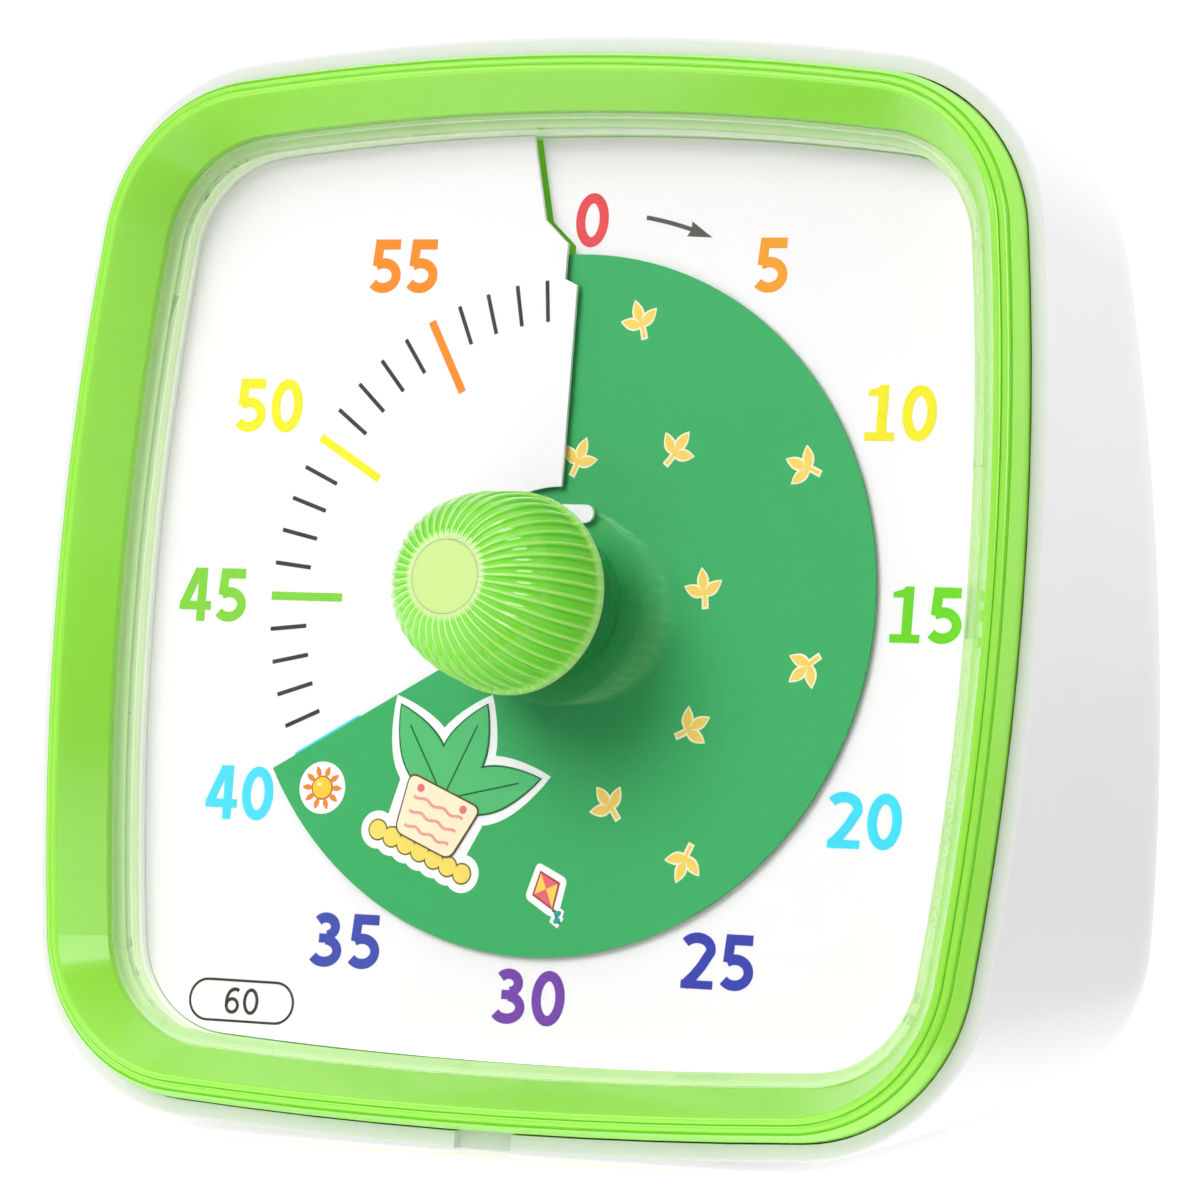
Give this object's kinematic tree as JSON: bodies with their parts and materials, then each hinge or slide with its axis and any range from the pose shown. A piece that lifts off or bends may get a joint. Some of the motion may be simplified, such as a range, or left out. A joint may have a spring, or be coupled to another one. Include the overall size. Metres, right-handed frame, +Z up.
{
  "type": "visual countdown timer",
  "caption": "Square desktop timer: a knob winds a coloured disc out through a slit in the numbered dial to show the minutes left.",
  "frame": {"origin": "middle of the box around the object, on the surface that the feet stand on", "axes": "+X to the object's right seen from the front, +Y to its back, +Z up; the dial faces -Y and leans back"},
  "size_m": [0.1398, 0.0776, 0.1382],
  "materials": {
    "case_white": "fine satin",
    "bezel_lime": "smooth, soft gloss",
    "lens_clear": "clear, polished",
    "dial_white": "smooth, printed",
    "disc_green": "satin",
    "knob_green": "translucent-looking gloss",
    "cap_pale": "satin",
    "steel": "plain bright",
    "bushing_brass": "turned",
    "movement_grey": "moulded",
    "gear_white": "moulded acetal",
    "coil_copper": "enamelled wire",
    "board_green": "solder mask",
    "part_black": "moulded",
    "crystal_can": "bright can",
    "cell_wrap": "printed sleeve, plain",
    "slider_white": "moulded",
    "foot_rubber": "matt"
  },
  "bodies": {
    "case": {"rear_case": "case_white", "front_bezel": "bezel_lime", "dial_carrier": "bezel_lime", "lens": "lens_clear", "dial_plate": "dial_white", "gear_arbors": "steel", "motor_stator": "steel", "battery_plate_contact": "steel", "battery_spring_contact": "steel", "case_screws": "steel", "bezel_screws": "steel", "movement_screws": "steel", "board_screws": "steel", "shaft_bushing": "bushing_brass", "movement_front": "movement_grey", "movement_rear": "movement_grey", "motor_coil": "coil_copper", "circuit_board": "board_green", "controller_chip": "part_black", "sound_switch_body": "part_black", "buzzer": "part_black", "quartz_crystal": "crystal_can", "battery_cell": "cell_wrap", "foot_front_left": "foot_rubber", "foot_front_right": "foot_rubber", "foot_rear_left": "foot_rubber", "foot_rear_right": "foot_rubber"},
    "spindle": {"main_shaft": "steel", "knob": "knob_green", "knob_cap": "cap_pale", "main_wheel": "gear_white"},
    "disc": {"countdown_disc": "disc_green", "disc_hub": "disc_green"},
    "second": {"second_wheel": "gear_white"},
    "third": {"third_wheel": "gear_white"},
    "rotor": {"motor_rotor": "gear_white"},
    "door": {"battery_door": "case_white"},
    "slider": {"sound_switch_slider": "slider_white"}
  },
  "joints": [
    {"name": "timer_turn", "type": "hinge", "parent": "case", "child": "spindle", "pos_m": [0, -0.00901, 0.06699], "axis": [0, 0.9863, -0.165], "range_deg": [-240, 120]},
    {"name": "disc_lift", "type": "slide", "parent": "spindle", "child": "disc", "axis": [0, -0.9863, 0.165], "range_m": [-0.00121, 0.00061]},
    {"name": "second_turn", "type": "hinge", "parent": "case", "child": "second", "pos_m": [-0.00914, -0.01052, 0.05797], "axis": [0, 0.9863, -0.165], "range_deg": [-363.6, 727.2]},
    {"name": "third_turn", "type": "hinge", "parent": "case", "child": "third", "pos_m": [0.00334, -0.01107, 0.05468], "axis": [0, 0.9863, -0.165], "range_deg": [-2181.6, 1090.8]},
    {"name": "rotor_turn", "type": "hinge", "parent": "case", "child": "rotor", "pos_m": [0.01248, -0.00956, 0.06369], "axis": [0, 0.9863, -0.165], "range_deg": [-3272.4, 6544.8]},
    {"name": "battery_door", "type": "slide", "parent": "case", "child": "door", "axis": [0, 0.9952, 0.0976], "range_m": [0, 0.012]},
    {"name": "sound_switch", "type": "slide", "parent": "case", "child": "slider", "axis": [1, 0, 0], "range_m": [-0.003, 0.003]}
  ],
  "couplings": [
    {"joint": "disc_lift", "follows": "timer_turn", "m_per_rad": 0.00028648},
    {"joint": "second_turn", "follows": "timer_turn", "ratio": -3},
    {"joint": "third_turn", "follows": "timer_turn", "ratio": 9},
    {"joint": "rotor_turn", "follows": "timer_turn", "ratio": -27}
  ]
}
